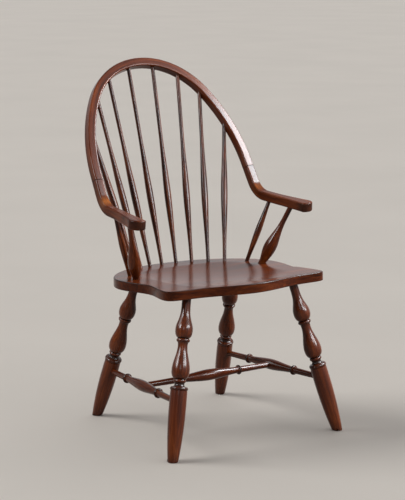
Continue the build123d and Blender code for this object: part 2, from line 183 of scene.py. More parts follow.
class WindsorFinish(bpy.types.PropertyGroup):
    """Colours and gloss of the stained wood."""
    light: FloatVectorProperty(
        name="Light grain", description="Lightest stain of the wood", default=(0.196, 0.0435, 0.0080),
        subtype="COLOR")
    middle: FloatVectorProperty(
        name="Middle grain", description="Main stain of the wood", default=(0.092, 0.0168, 0.0033),
        subtype="COLOR")
    dark: FloatVectorProperty(
        name="Dark grain", description="Darkest stain of the wood", default=(0.022, 0.0045, 0.0015),
        subtype="COLOR")
    # Painted shade as well as glaze: this dark colour is the glaze in the grooves, and it also paints
    # shade into grooves, onto beads, along the seat's rim and on the hands' ends.
    glaze_and_shade: FloatVectorProperty(
        name="Glaze", description="Dark glaze left in the grooves and rims",
        default=(0.0075, 0.0030, 0.0020),
        subtype="COLOR")
    # Painted light: this amber colour paints a glow of light inside the bends of the arms.
    worn: FloatVectorProperty(
        name="Worn", description="Stain where the finish is rubbed thin", default=(0.260, 0.078, 0.0120),
        subtype="COLOR")
    dowel: FloatVectorProperty(
        name="Dowel wood", description="Bare wood of the hidden dowels", default=(0.560, 0.380, 0.210),
        subtype="COLOR")
    roughness: FloatProperty(
        name="Roughness", description="Roughness of the stained wood", default=0.52, subtype="FACTOR",
        min=0, max=1)
    sheen_level: FloatProperty(
        name="Wood gloss", description="Gloss of the wood under the lacquer", default=0.02,
        subtype="FACTOR",
        min=0, max=1)
    coat: FloatProperty(
        name="Lacquer", description="Weight of the lacquer", default=1.0, subtype="FACTOR", min=0, max=1)
    coat_thin: FloatProperty(
        name="Thin lacquer", description="Weight of the lacquer where hands have rubbed it",
        default=0.60,
        subtype="FACTOR", min=0, max=1)
    coat_roughness: FloatProperty(
        name="Lacquer roughness", description="Roughness of the lacquer", default=0.20, subtype="FACTOR",
        min=0, max=1)
    figure: FloatProperty(
        name="Figure width", description="Width of the broad streaks of the grain", default=0.014,
        unit="LENGTH")
    fibre: FloatProperty(
        name="Fibre width", description="Width of the fine streaks of the grain", default=0.0028,
        unit="LENGTH")
    pore: FloatProperty(
        name="Pore width", description="Width of the open pores", default=0.0008, unit="LENGTH")


class WindsorStage(bpy.types.PropertyGroup):
    """Floor, lights and camera."""
    floor: FloatVectorProperty(
        name="Floor", description="Colour of the floor", default=(0.74, 0.69, 0.625), subtype="COLOR")
    surround: FloatVectorProperty(
        name="Surround", description="Colour of the soft light all round", default=(0.98, 0.98, 1.0),
        subtype="COLOR")
    surround_side: FloatVectorProperty(
        name="Bright side", description="Where the soft light all round is brightest",
        default=(0.99, 0.13, 0.0),
        subtype="DIRECTION")
    surround_low: FloatProperty(
        name="Surround low", description="Strength of the soft light on its dim side", default=0.07)
    surround_high: FloatProperty(
        name="Surround high", description="Strength of the soft light on its bright side", default=0.82)
    lamp_colour: FloatVectorProperty(
        name="Lamp colour", description="Colour of the lamps", default=(0.90, 0.96, 1.0),
        subtype="COLOR")
    key: FloatProperty(
        name="Key power", description="Power of the light high on the right", default=195,
        subtype="POWER")
    side: FloatProperty(
        name="Side power", description="Power of the light in front on the right", default=86,
        subtype="POWER")
    middle: FloatProperty(
        name="Middle power", description="Power of the light straight in front", default=66,
        subtype="POWER")
    high: FloatProperty(
        name="High power", description="Power of the small light high in front", default=18,
        subtype="POWER")
    left: FloatProperty(
        name="Left power", description="Power of the light on the left", default=84, subtype="POWER")
    front: FloatProperty(
        name="Front power", description="Power of the light beside the camera", default=24,
        subtype="POWER")
    sun: FloatProperty(
        name="Far light", description="Strength of the soft light from behind on the left", default=1.6)
    camera_place: FloatVectorProperty(
        name="Camera", description="Place of the camera", default=(-2.7997, -4.2993, 1.4821),
        subtype="TRANSLATION")
    camera_forward: FloatVectorProperty(
        name="View", description="Direction of the camera's view", default=(0.5391, 0.8216, -0.1852),
        subtype="DIRECTION")
    lens: FloatProperty(
        name="Lens", description="Focal length in millimetres, on a 36 mm film", default=128.1)


# ---------------------------------------------------------------- modelling helpers

def clear_selection():
    """Leave edit mode and deselect everything, so that the next tool acts on new work only."""
    if bpy.context.mode != "OBJECT":
        leave_edit()
    bpy.ops.object.select_all(action="DESELECT")


def take(piece):
    """Make a piece the only selected one."""
    clear_selection()
    piece.select_set(True)
    bpy.context.view_layer.objects.active = piece


def edit(piece, kind, action):
    """Open a piece in edit mode, with all or none of its points, edges or faces selected."""
    take(piece)
    bpy.ops.object.mode_set(mode="EDIT")
    bpy.ops.mesh.select_mode(type=kind)
    bpy.ops.mesh.select_all(action=action)


def leave_edit():
    """Leave edit mode."""
    bpy.ops.object.mode_set(mode="OBJECT")


def named(name):
    """Name the object that was just added."""
    thing = bpy.context.object
    thing.name = thing.data.name = name
    return thing


def settle(piece, place):
    """Move a piece to its place, and keep the place in its mesh."""
    take(piece)
    piece.matrix_world = place
    bpy.ops.object.transform_apply(location=True, rotation=True, scale=True)


def copy_of(model, name):
    """Copy of a modelled piece, with its own mesh."""
    take(model)
    bpy.ops.object.duplicate(linked=False)
    return named(name)


def close_up(piece):
    """Merge doubled points and turn every face outwards."""
    edit(piece, "VERT", "SELECT")
    bpy.ops.mesh.remove_doubles(threshold=SAME_POINT)
    bpy.ops.mesh.normals_make_consistent(inside=False)
    leave_edit()


def points_of(thing):
    """Vertex positions of an object's mesh."""
    points = np.empty(len(thing.data.vertices) * 3, np.float32)
    thing.data.vertices.foreach_get("co", points)
    return points.reshape(-1, 3).astype(float)


def move_points(piece, points):
    """Set the vertex positions of a piece's mesh."""
    piece.data.vertices.foreach_set("co", points.astype(np.float32).ravel())
    piece.data.update()


def ease_edges(piece, test, width, segments):
    """Bevel the edges of a piece whose middles pass a test."""
    edit(piece, "EDGE", "DESELECT")
    leave_edit()
    ends = np.empty(len(piece.data.edges) * 2, np.int32)
    piece.data.edges.foreach_get("vertices", ends)
    chosen = test(points_of(piece)[ends].reshape(-1, 2, 3).mean(1))
    piece.data.edges.foreach_set("select", chosen)
    bpy.ops.object.mode_set(mode="EDIT")
    bpy.ops.mesh.bevel(offset=width, segments=segments, affect="EDGES")
    leave_edit()


def pick_face(piece, direction):
    """Select the largest face that looks in a direction, and stay in edit mode."""
    edit(piece, "FACE", "DESELECT")
    leave_edit()
    facing = [face for face in piece.data.polygons if face.normal.dot(direction) > FACING]
    if not facing:
        raise RuntimeError(f"{piece.name} has no face that looks along {tuple(direction)}")
    max(facing, key=lambda face: face.area).select = True
    bpy.ops.object.mode_set(mode="EDIT")


def draw_straight(offset):
    """Draw the selected end out along a straight line."""
    bpy.ops.mesh.extrude_region_move(TRANSFORM_OT_translate={"value": offset})


def draw_round(centre, axis, angle, steps):
    """Draw the selected end round an axis."""
    bpy.ops.mesh.spin(steps=steps, angle=angle, center=centre, axis=axis)


def basis(origin, x_axis, z_axis):
    """Place with its X axis as near the given one as its Z axis lets it."""
    z_axis = Vector(z_axis).normalized()
    y_axis = z_axis.cross(Vector(x_axis)).normalized()
    x_axis = y_axis.cross(z_axis)
    place = Matrix((x_axis, y_axis, z_axis)).transposed().to_4x4()
    place.translation = Vector(origin)
    return place


def seen_from(place, points):
    """Points measured in the axes of a place."""
    inverse = np.array(place.inverted())
    return points @ inverse[:3, :3].T + inverse[:3, 3]


def bell(reach, step):
    """Shifts and weights that smooth evenly spaced values over a reach."""
    half = int(3 * reach / step)
    shifts = np.arange(-half, half + 1)
    weights = np.exp(-0.5 * (shifts * step / reach) ** 2)
    return shifts, weights / weights.sum()


def mark(piece, name, values):
    """Store a value or a vector for every point of a piece."""
    vector = np.ndim(values) == 2
    layer = piece.data.attributes.get(name)
    if layer is None:
        layer = piece.data.attributes.new(name, "FLOAT_VECTOR" if vector else "FLOAT", "POINT")
    layer.data.foreach_set("vector" if vector else "value", np.asarray(values, np.float32).ravel())


def drawn_plan(name, plan):
    """Flat face with the given outline, ready to be drawn out."""
    clear_selection()
    bpy.ops.mesh.primitive_circle_add(vertices=len(plan), radius=1, fill_type="NGON")
    piece = named(name)
    turnwise = np.argsort(np.arctan2(*points_of(piece)[:, 1::-1].T))
    outline = np.zeros((len(plan), 3))
    outline[turnwise, :2] = plan
    move_points(piece, outline)
    edit(piece, "FACE", "SELECT")
    return piece


def even_out(piece):
    """Keep the broad faces of a piece flat in their shading, so that only the rounded rims turn."""
    take(piece)
    bpy.ops.object.shade_smooth_by_angle(angle=SHARP_ANGLE)
    bpy.ops.object.modifier_add(type="WEIGHTED_NORMAL")
    piece.modifiers[-1].keep_sharp = True
    bpy.ops.object.modifier_apply(modifier=piece.modifiers[-1].name)


def hand_over(piece, node, material):
    """Give a finished piece its material and its place in the frame."""
    take(piece)
    piece.data.materials.clear()
    piece.data.materials.append(material)
    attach(piece, "root")
    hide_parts(node)


# ---------------------------------------------------------------- materials

# How many times as long as wide the streaks of the grain are
FIGURE_DRAW, FIBRE_DRAW, PORE_DRAW = 24, 45, 16
FIGURE_WAVE = 0.7  # how much the broad streaks wander
CLOUD_WIDTH, CLOUD_LENGTH = 0.07, 0.15
CLOUD_SHADE = (0.72, 0.62, 0.56, 1.0)
# Parts of the noise's range that are used
STREAK_RANGE, CLOUD_RANGE = (0.25, 0.75), (0.32, 0.68)
PORE_RANGE, RELIEF_RANGE = (0.58, 0.68), (0.2, 0.8)
FIBRE_SHARE = 0.45  # of the fine streaks in the tone of the grain
DARK_REACH, LIGHT_REACH = 0.13, 0.1495  # in tone, from the middle stain to the other two
GLOW_GRAIN, GLAZE_AND_SHADE_GRAIN = (0.45, 1.0), (0.75, 1.0)  # how the fibres break up the painted glow and the glaze with its painted shade
PORE_SHARE, PORE_ROUGHNESS, PORE_DEPTH = 0.60, 0.20, 0.6  # dark stain, roughness and depth of pores
FIGURE_ROUGHNESS = 0.08  # that the figure adds or takes away
FIBRE_HEIGHT = (0.4, 0.7)
# Strength and height of the relief
WOOD_RELIEF, LACQUER_RELIEF, DOWEL_RELIEF = (0.25, 0.0004), (0.02, 0.0003), (0.3, 0.0003)
DOWEL_FIBRE, DOWEL_RANGE, DOWEL_ROUGHNESS = (0.0016, 0.03), (0.3, 0.7), (0.55, 0.75)
DOWEL_SHADES = (0.62, 1.0)

# Stains of the pieces: brightness, contrast and width of the figure as shares of the finish, then the
# roughness of the lacquer as a share of the finish's and its index of refraction
STAIN_FIELDS = ("brightness", "contrast", "figure", "roughness", "gloss")
STAINS = {
    "seat": (0.68, 0.8, 1.4, 1.0, 1.175),
    "bow": (0.50, 0.9, 1.0, 0.9, 1.235),
    "arm": (0.48, 0.9, 1.0, 0.9, 1.22),
    "spindle": (0.36, 1.9, 0.45, 1.0, 1.28),
    "post": (0.49, 0.8, 1.2, 0.8, 1.26),
    "leg": (0.56, 0.75, 1.3, 1.05, 1.305),
    "stretcher": (0.45, 0.9, 0.7, 0.8, 1.25),
}


def add(tree, kind, settings=None, inputs=None):
    """Node of a kind in a material; each input is a value or another node's output."""
    node = tree.nodes.new(kind)
    for key, value in (settings or {}).items():
        setattr(node, key, value)
    for key, value in (inputs or {}).items():
        if isinstance(value, bpy.types.NodeSocket):
            tree.links.new(value, node.inputs[key])
        else:
            node.inputs[key].default_value = value
    return node


def blank_material(name):
    """New material, and its empty node tree."""
    material = bpy.data.materials.new(name)
    material.use_nodes = True
    material.node_tree.nodes.clear()
    return material, material.node_tree


def surface(tree, inputs):
    """Shader with the given inputs, as the surface of its material."""
    shader = add(tree, "ShaderNodeBsdfPrincipled", {}, inputs)
    add(tree, "ShaderNodeOutputMaterial", {}, {"Surface": shader.outputs[0]})


def stored(tree, name, output="Fac"):
    """What was marked on the points of a piece."""
    return add(tree, "ShaderNodeAttribute", {"attribute_name": name}).outputs[output]


def maths(tree, operation, first, second):
    """Two numbers put through one operation, and the result kept from 0 to 1."""
    settings = {"operation": operation, "use_clamp": True}
    return add(tree, "ShaderNodeMath", settings, {0: first, 1: second}).outputs[0]


def spread(tree, value, low, high, to_low=0.0, to_high=1.0):
    """A number from one range brought to another, and kept inside it."""
    node = add(tree, "ShaderNodeMapRange", {"clamp": True}, {
        "Value": value, "From Min": low, "From Max": high, "To Min": to_low, "To Max": to_high})
    return node.outputs["Result"]


def blend_colour(tree, share, first, second, mode="MIX"):
    """Two colours mixed by a share."""
    node = add(tree, "ShaderNodeMix", {"data_type": "RGBA", "blend_type": mode, "clamp_factor": True},
               {0: share, 6: first, 7: second})
    return node.outputs[2]


def streaks(tree, vector, width, length, detail, distortion=0.0):
    """Noise drawn out along the grain, as wide and long as given."""
    stretched = add(tree, "ShaderNodeMapping", {"vector_type": "POINT"}, {
        "Vector": vector, "Scale": (1 / width, 1 / width, 1 / length)})
    noise = add(tree, "ShaderNodeTexNoise", {}, {
        "Vector": stretched.outputs[0], "Scale": 1.0, "Detail": detail, "Roughness": 0.6,
        "Distortion": distortion})
    return noise.outputs["Fac"]


def relief_of(tree, height, strength, distance):
    """Normal that shows a height as relief."""
    inputs = {"Strength": strength, "Distance": distance, "Height": height}
    return add(tree, "ShaderNodeBump", {}, inputs).outputs[0]


def rgba(colour, brightness=1.0):
    """Colour with full cover."""
    return (*(brightness * channel for channel in colour), 1.0)


def stained_wood(name, finish, stain, rubbed_and_glowing):
    """Stained and lacquered wood: grain along the piece, dark glaze with painted shade where marked, a
    painted glow of light and thinner lacquer if rubbed.
    """
    material, tree = blank_material(name)
    grain = stored(tree, "grain", "Vector")
    width = finish.figure * stain["figure"]
    figure = streaks(tree, grain, width, width * FIGURE_DRAW, 4.0, FIGURE_WAVE)
    fibre = streaks(tree, grain, finish.fibre, finish.fibre * FIBRE_DRAW, 3.0)
    pores = streaks(tree, grain, finish.pore, finish.pore * PORE_DRAW, 2.0)
    cloud = streaks(tree, grain, CLOUD_WIDTH, CLOUD_LENGTH, 2.0)

    tone = add(tree, "ShaderNodeMix", {"data_type": "FLOAT"}, {0: FIBRE_SHARE, 2: figure, 3: fibre})
    ramp = add(tree, "ShaderNodeValToRGB", {}, {"Fac": tone.outputs[0]})
    darkest, lightest = 0.5 - DARK_REACH / stain["contrast"], 0.5 + LIGHT_REACH / stain["contrast"]
    stops = ((darkest, finish.dark), (0.5, finish.middle), (lightest, finish.light))
    ramp.color_ramp.elements.new(0.5)
    for element, (position, colour) in zip(ramp.color_ramp.elements, stops):
        element.position = position
        element.color = rgba(colour, stain["brightness"])

    shade = spread(tree, cloud, *CLOUD_RANGE)
    colour = blend_colour(tree, shade, ramp.outputs["Color"], CLOUD_SHADE, "MULTIPLY")
    lacquer = finish.coat
    # Painted light on the arms: an amber glow painted inside the bend, and thinner lacquer where hands
    # rub.
    if rubbed_and_glowing:
        uneven = spread(tree, fibre, *STREAK_RANGE, *GLOW_GRAIN)
        worn = maths(tree, "MULTIPLY", stored(tree, "worn"), uneven)
        colour = blend_colour(tree, worn, colour, rgba(finish.worn))
        lacquer = spread(tree, stored(tree, "handled"), 0, 1, finish.coat, finish.coat_thin)
    pore_share = spread(tree, pores, *PORE_RANGE, 0.0, PORE_SHARE)
    colour = blend_colour(tree, pore_share, colour, rgba(finish.dark))
    # Dark glaze with painted shade in grooves, painted shade on beads, rims and hand ends, and darker
    # feet.
    uneven = spread(tree, fibre, *STREAK_RANGE, *GLAZE_AND_SHADE_GRAIN)
    glaze_and_shade_share = maths(tree, "MULTIPLY", stored(tree, "groove"), uneven)
    colour = blend_colour(tree, glaze_and_shade_share, colour, rgba(finish.glaze_and_shade))

    smooth, rough = finish.roughness - FIGURE_ROUGHNESS, finish.roughness + FIGURE_ROUGHNESS
    roughness = maths(tree, "ADD", spread(tree, figure, *STREAK_RANGE, smooth, rough),
                      maths(tree, "MULTIPLY", pore_share, PORE_ROUGHNESS))
    relief = maths(tree, "SUBTRACT", spread(tree, fibre, *RELIEF_RANGE, *FIBRE_HEIGHT),
                   maths(tree, "MULTIPLY", pore_share, PORE_DEPTH))
    surface(tree, {
        "Base Color": colour, "Roughness": roughness, "Normal": relief_of(tree, relief, *WOOD_RELIEF),
        "IOR": 1.5, "Specular IOR Level": finish.sheen_level, "Coat Weight": lacquer,
        "Coat Roughness": finish.coat_roughness * stain["roughness"], "Coat IOR": stain["gloss"],
        "Coat Normal": relief_of(tree, relief, *LACQUER_RELIEF)})
    return material


def bare_wood(name, finish, lean):
    """Unstained wood of the hidden dowels, its grain along the straight ends of the bow."""
    material, tree = blank_material(name)
    place = add(tree, "ShaderNodeTexCoord").outputs["Object"]
    turned = add(tree, "ShaderNodeMapping", {}, {"Vector": place, "Rotation": (lean, 0, 0)})
    fibre = streaks(tree, turned.outputs[0], *DOWEL_FIBRE, 3.0)
    ramp = add(tree, "ShaderNodeValToRGB", {}, {"Fac": fibre})
    for element, position, brightness in zip(ramp.color_ramp.elements, DOWEL_RANGE, DOWEL_SHADES):
        element.position = position
        element.color = rgba(finish.dowel, brightness)
    surface(tree, {
        "Base Color": ramp.outputs["Color"],
        "Roughness": spread(tree, fibre, *RELIEF_RANGE, *DOWEL_ROUGHNESS),
        "Normal": relief_of(tree, fibre, *DOWEL_RELIEF)})
    return material


def wood_for(kind):
    """The stained wood of a kind of piece, made once."""
    name = "stained_" + kind
    if name in bpy.data.materials:
        return bpy.data.materials[name]
    stain = dict(zip(STAIN_FIELDS, STAINS[kind]))
    return stained_wood(name, bpy.context.scene.windsor_finish, stain, rubbed_and_glowing=kind == "arm")


# ---------------------------------------------------------------- turned pieces

END_SLACKS = (0.002, 0.0005, 0.0001)  # that find the flat end of a turning more and more closely
RING_POINTS = 16  # fewest points of a ring of the measured mesh
RING_GAP = 0.00002  # least distance between two of its rings
LEVEL_AXIS = 0.5  # an axis that rises less than this counts as level
OUTLINE_STEP = 0.0005
GROOVE_DEPTH, BEAD_HEIGHT = 0.0006, 0.0009  # where the glaze and painted shade start
DARKENING_RISE = 0.0012  # depth or height over which it grows to its full strength
FOOT_DARKENING, FOOT_REACH = 0.45, 0.030  # strength of the darkening at the floor, and the height over which the foot gets darker
FOOT_STEPS = 2  # faces across the eased edge of a foot


def stick_axis(node, towards):
    """Place whose Z axis is the axis of a turned node, starting at the middle of its flat first end."""
    points = points_of(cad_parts[node])
    centred = points - points.mean(0)
    axis = np.linalg.svd(centred.T @ centred)[0][:, 0]
    axis = axis if axis @ np.array(towards) > 0 else -axis
    for slack in END_SLACKS:
        along = points @ axis
        end = np.unique(points[along < along.min() + slack].round(7), axis=0)
        normal = np.linalg.svd(end - end.mean(0))[2][2]
        axis = normal if normal @ axis > 0 else -normal
    return basis(end.mean(0), UP if abs(axis[2]) < LEVEL_AXIS else ACROSS, axis)


def stick_rows(node, place):
    """Outline of a turned node as rows of (distance along its axis, radius)."""
    local = seen_from(place, points_of(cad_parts[node]))
    order = np.argsort(local[:, 2])
    station, radius = local[order, 2], np.hypot(local[order, 0], local[order, 1])
    starts = np.flatnonzero(np.diff(station) > RING_GAP) + 1
    rings = [ring for ring in np.split(np.arange(len(station)), starts) if len(ring) >= RING_POINTS]
    return np.array([(station[ring].mean(), radius[ring].max()) for ring in rings])


def thinned(rows, slack):
    """The fewest rows that keep the outline within a slack."""
    if len(rows) < 3:
        return rows
    chord = rows[-1] - rows[0]
    offset = rows - rows[0]
    away = np.abs(chord[0] * offset[:, 1] - chord[1] * offset[:, 0]) / np.hypot(*chord)
    worst = int(away.argmax())
    if away[worst] <= slack:
        return rows[[0, -1]]
    return np.vstack((thinned(rows[:worst + 1], slack)[:-1], thinned(rows[worst:], slack)))


def turn(name, rows, segments):
    """Solid turned about Z, drawn out ring by ring from a disc."""
    clear_selection()
    station, radius = rows[0]
    bpy.ops.mesh.primitive_circle_add(vertices=segments, radius=radius, fill_type="NGON")
    piece = named(name)
    edit(piece, "FACE", "SELECT")
    for next_station, next_radius in rows[1:]:
        draw_straight((0, 0, next_station - station))
        grow = next_radius / radius
        bpy.ops.transform.resize(value=(grow, grow, 1), center_override=(0, 0, next_station))
        station, radius = next_station, next_radius
    close_up(piece)
    return piece


def outline_depth(rows, reach):
    """Stations along a turning, and how far its outline lies inside the smoothed one at each."""
    stations = np.arange(0, rows[-1, 0], OUTLINE_STEP)
    radius = np.interp(stations, rows[:, 0], rows[:, 1])
    shifts, weights = bell(reach, OUTLINE_STEP)
    smooth = np.convolve(np.pad(radius, len(shifts) // 2, mode="edge"), weights, "valid")
    return stations, smooth - radius


def mark_turning(piece, place, rows, luck, bead_shade):
    """Grain along a turned piece; dark glaze with painted shade in its grooves, a foot darker towards
    the floor, and painted shade on beads where asked.
    """
    points = points_of(piece)
    local = seen_from(place, points)
    stations, depth = outline_depth(rows, bpy.context.scene.windsor_turning.groove_reach)
    sunk = np.interp(local[:, 2], stations, depth)
    # Glaze with painted shade in the grooves.
    groove = np.clip((sunk - GROOVE_DEPTH) / DARKENING_RISE, 0, 1)
    # Painted shade on the beads.
    proud = np.clip((-sunk - BEAD_HEIGHT) / DARKENING_RISE, 0, 1)
    # Darker towards the floor at a foot.
    foot = FOOT_DARKENING * np.clip(1 - points[:, 2] / FOOT_REACH, 0, 1)
    mark(piece, "grain", local + luck.uniform(-1, 1, 3))
    mark(piece, "groove", np.maximum.reduce((groove, proud * bead_shade, foot)))


def floor_cut(piece, chamfer):
    """Cut a leg level at the floor and ease the edge of its foot."""
    edit(piece, "FACE", "SELECT")
    bpy.ops.mesh.bisect(plane_co=(0, 0, 0), plane_no=(0, 0, 1), use_fill=True, clear_inner=True)
    ease_edges(piece, lambda middles: middles[:, 2] < SAME_POINT, chamfer, FOOT_STEPS)
    close_up(piece)


def turned_group(nodes, towards, kind, bead_shade=0.0, below_floor=0.0):
    """Turn a piece once and copy it to every node of the same turning."""
    turning = bpy.context.scene.windsor_turning
    rows = thinned(stick_rows(nodes[0], stick_axis(nodes[0], towards)), turning.outline_slack)
    if below_floor:
        reach = below_floor / (rows[-1, 0] - rows[-2, 0])
        rows = np.vstack((rows, rows[-1] + (rows[-1] - rows[-2]) * reach))
    model = turn("turned_" + nodes[0], rows, turning.segments)
    for node in nodes:
        piece = copy_of(model, "wood_" + node)
        place = stick_axis(node, towards)
        settle(piece, place)
        if below_floor:
            floor_cut(piece, turning.foot_chamfer)
        luck = np.random.default_rng([SEED] + [ord(letter) for letter in node])
        mark_turning(piece, place, rows, luck, bead_shade)
        take(piece)
        bpy.ops.object.shade_smooth_by_angle(angle=SHARP_ANGLE)
        hand_over(piece, node, wood_for(kind))
    bpy.data.objects.remove(model)


# ---------------------------------------------------------------- bow

ROUND_STEPS, SEAM_STEPS = 6, 1  # faces across a rounded edge and an eased seam of the bow
CROWN_STEPS, SIDE_STEPS, BEND_STEPS = 96, 36, 40  # faces along its arcs
# Points of the line that its grain follows, and where that line starts and ends past the bend
HOOP_POINTS, HEAD_POINTS, BEND_POINTS, HAND_POINTS = 240, 20, 60, 60
HAND_START, HAND_REACH = 0.004, 0.21
EDGE_POINTS, CORNER_POINTS, END_POINTS = 36, 9, 40  # of the hand's outline
END_GRAIN_AND_SHADE = 0.80  # strength of the darker end grain and painted shade on the hand's end
END_START = 0.4  # how far before that end it begins, as a share of the end's length
GLOW_MIDDLE, GLOW_REACH = 0.42, 0.26  # of the painted glow of light, as shares of the bend
HANDLED_START, HANDLED_RISE = 0.45, 0.4  # of the thinner lacquer, as shares of the bend


class BowLine:
    """Centre line of the bow, worked out from its sizes on the sitter's left."""

    def __init__(self, bow):
        self.bow = bow
        self.front = Vector((0, -math.cos(bow.lean), math.sin(bow.lean)))
        self.rise = Vector((0, math.sin(bow.lean), math.cos(bow.lean)))
        less = bow.crown_radius - bow.side_radius
        self.side_x = less * math.sin(bow.crown_angle)
        self.side_drop = bow.crown_radius - less * math.cos(bow.crown_angle)
        self.head = self.lay(math.cos(bow.end_angle), -math.sin(bow.end_angle))
        self.seam = self.hoop_point(bow.end_angle) + self.head * bow.tail
        cos_splay, cos_fall = math.cos(bow.splay), math.cos(bow.fall)
        self.arm = Vector((math.sin(bow.splay), -cos_splay * cos_fall, -math.sin(bow.fall))).normalized()
        self.bend = math.acos(self.head.dot(self.arm))
        self.inward = (self.arm - self.head * math.cos(self.bend)).normalized()
        self.bend_start = self.seam + self.head * bow.arm_head
        self.bend_axis = self.head.cross(self.inward)
        self.bend_centre = self.bend_start + self.inward * bow.bend_radius
        turn_back = self.inward * math.cos(self.bend) - self.head * math.sin(self.bend)
        up = turn_back * self.front.dot(self.inward) + self.bend_axis * self.front.dot(self.bend_axis)
        self.hand = basis(self.bend_centre - turn_back * bow.bend_radius, self.arm, up)

    def lay(self, x, y):
        """Direction in the plane of the hoop."""
        return Vector((x, 0, 0)) + self.rise * y

    def hoop_point(self, angle):
        """Point of the hoop where it has turned through an angle from the top."""
        bow = self.bow
        if angle <= bow.crown_angle:
            x, drop = bow.crown_radius * math.sin(angle), bow.crown_radius * (1 - math.cos(angle))
        else:
            x = self.side_x + bow.side_radius * math.sin(angle)
            drop = self.side_drop - bow.side_radius * math.cos(angle)
        return Vector(bow.apex) + self.lay(x, -drop)

    def hoop_line(self):
        """Points along the hoop from the sitter's right seam to the left one."""
        half = [self.hoop_point(angle) for angle in np.linspace(0, self.bow.end_angle, HOOP_POINTS)]
        half += [self.seam.lerp(half[-1], share) for share in (0.5, 0.0)]
        return [Vector((-point.x, point.y, point.z)) for point in reversed(half[1:])] + half

    def arm_line(self):
        """Points along the sitter's left arm from its seam to beyond its hand."""
        line = [self.seam.lerp(self.bend_start, share) for share in np.linspace(0, 1, HEAD_POINTS)]
        for angle in np.linspace(0, self.bend, BEND_POINTS)[1:]:
            turned = self.head * math.sin(angle) + self.inward * (1 - math.cos(angle))
            line.append(self.bend_start + turned * self.bow.bend_radius)
        hand = np.linspace(HAND_START, HAND_REACH, HAND_POINTS)
        return line + [line[-1] + self.arm * distance for distance in hand]


def bow_stock(name, bow, origin, direction, front):
    """Rounded section of the bow, ready to be drawn along its line."""
    clear_selection()
    bpy.ops.mesh.primitive_plane_add(size=1)
    piece = named(name)
    piece.scale = (bow.width, bow.depth, 1)
    bpy.ops.object.transform_apply(location=False, rotation=False, scale=True)
    edit(piece, "VERT", "SELECT")
    bpy.ops.mesh.bevel(offset=bow.edge_round, segments=ROUND_STEPS, affect="VERTICES")
    settle(piece, basis(origin, direction.cross(front), direction))
    edit(piece, "FACE", "SELECT")
    return piece


def ease_seam(piece, bow, seam, head):
    """Ease the edges that lie in the plane of a seam."""
    ease_edges(piece, lambda middles: np.abs((middles - np.array(seam)) @ np.array(head)) < SAME_POINT,
               bow.seam_ease, SEAM_STEPS)


def mark_bow(piece, line, front, luck, seam_line, seams):
    """Grain along the bow, and a dark line at the seams."""
    points = points_of(piece)
    path = np.array(line)
    run = np.concatenate(([0], np.cumsum(np.linalg.norm(np.diff(path, axis=0), axis=1))))
    nearest = ((points[:, None, :] - path[None, :, :]) ** 2).sum(2).argmin(1)
    tangents = np.gradient(path, axis=0)
    tangents /= np.linalg.norm(tangents, axis=1)[:, None]
    away = points - path[nearest]
    tangent = tangents[nearest]
    along = run[nearest] + (away * tangent).sum(1)
    deep = away @ np.array(front)
    side = (away * np.cross(tangent, np.array(front))).sum(1)
    mark(piece, "grain", np.column_stack((side, deep, along)) + luck.uniform(-1, 1, 3))
    gap = np.min([np.abs((points - np.array(seam)) @ np.array(axis)) for seam, axis in seams], axis=0)
    mark(piece, "groove", np.clip(1 - gap / seam_line, 0, 1))


def through_middle(start, middle, end, start_slope, end_slope):
    """Smooth curve through three points with given slopes at its ends."""
    (x0, y0), (x1, y1), (x2, y2) = start, middle, end
    h0, h1 = x1 - x0, x2 - x1
    slope = (3 * ((y1 - y0) / h0 ** 2 + (y2 - y1) / h1 ** 2) - start_slope / h0 - end_slope / h1)
    slope /= 2 / h0 + 2 / h1

    def height(x):
        first = x <= x1
        left, low = np.where(first, x0, x1), np.where(first, y0, y1)
        width, high = np.where(first, h0, h1), np.where(first, y1, y2)
        into = np.where(first, start_slope, slope) * width
        out = np.where(first, slope, end_slope) * width
        t = (x - left) / width
        return ((2 * t ** 3 - 3 * t ** 2 + 1) * low + (t ** 3 - 2 * t ** 2 + t) * into
                + (3 * t ** 2 - 2 * t ** 3) * high + (t ** 3 - t ** 2) * out)

    return height


def hand_plan(bow):
    """Outline of the hand in plan: its outer edge, its round end and its inner edge, turning left."""
    half = bow.width / 2
    outer_end, inner_end = np.array(bow.outer_end), np.array(bow.inner_end)
    outer_edge = through_middle((0, half), bow.outer_mid, outer_end, 0, math.tan(bow.outer_flare))
    inner_edge = through_middle((0, -half), bow.inner_mid, inner_end, 0, 0)
    inward = np.array((math.sin(bow.outer_flare), -math.cos(bow.outer_flare)))
    chord = inner_end - outer_end
    radius = chord @ chord / (2 * inward @ chord)
    centre = outer_end + inward * radius
    rounding = radius - bow.corner_round
    drop = inner_end[1] + bow.corner_round - centre[1]
    corner = centre + (math.sqrt(rounding ** 2 - drop ** 2), drop)
    meet = math.asin(drop / rounding)
    first = math.pi / 2 + bow.outer_flare
    x_in = np.linspace(0, corner[0], EDGE_POINTS)
    x_out = np.linspace(outer_end[0], 0, EDGE_POINTS)[1:]
    rim = [np.column_stack((x_in, inner_edge(x_in)))]
    for middle, size, angles in (
            (corner, bow.corner_round, np.linspace(-math.pi / 2, meet, CORNER_POINTS)[1:]),
            (centre, radius, np.linspace(meet, first, END_POINTS)[1:])):
        rim.append(middle + size * np.column_stack((np.cos(angles), np.sin(angles))))
    rim.append(np.column_stack((x_out, outer_edge(x_out))))
    return np.vstack(rim)


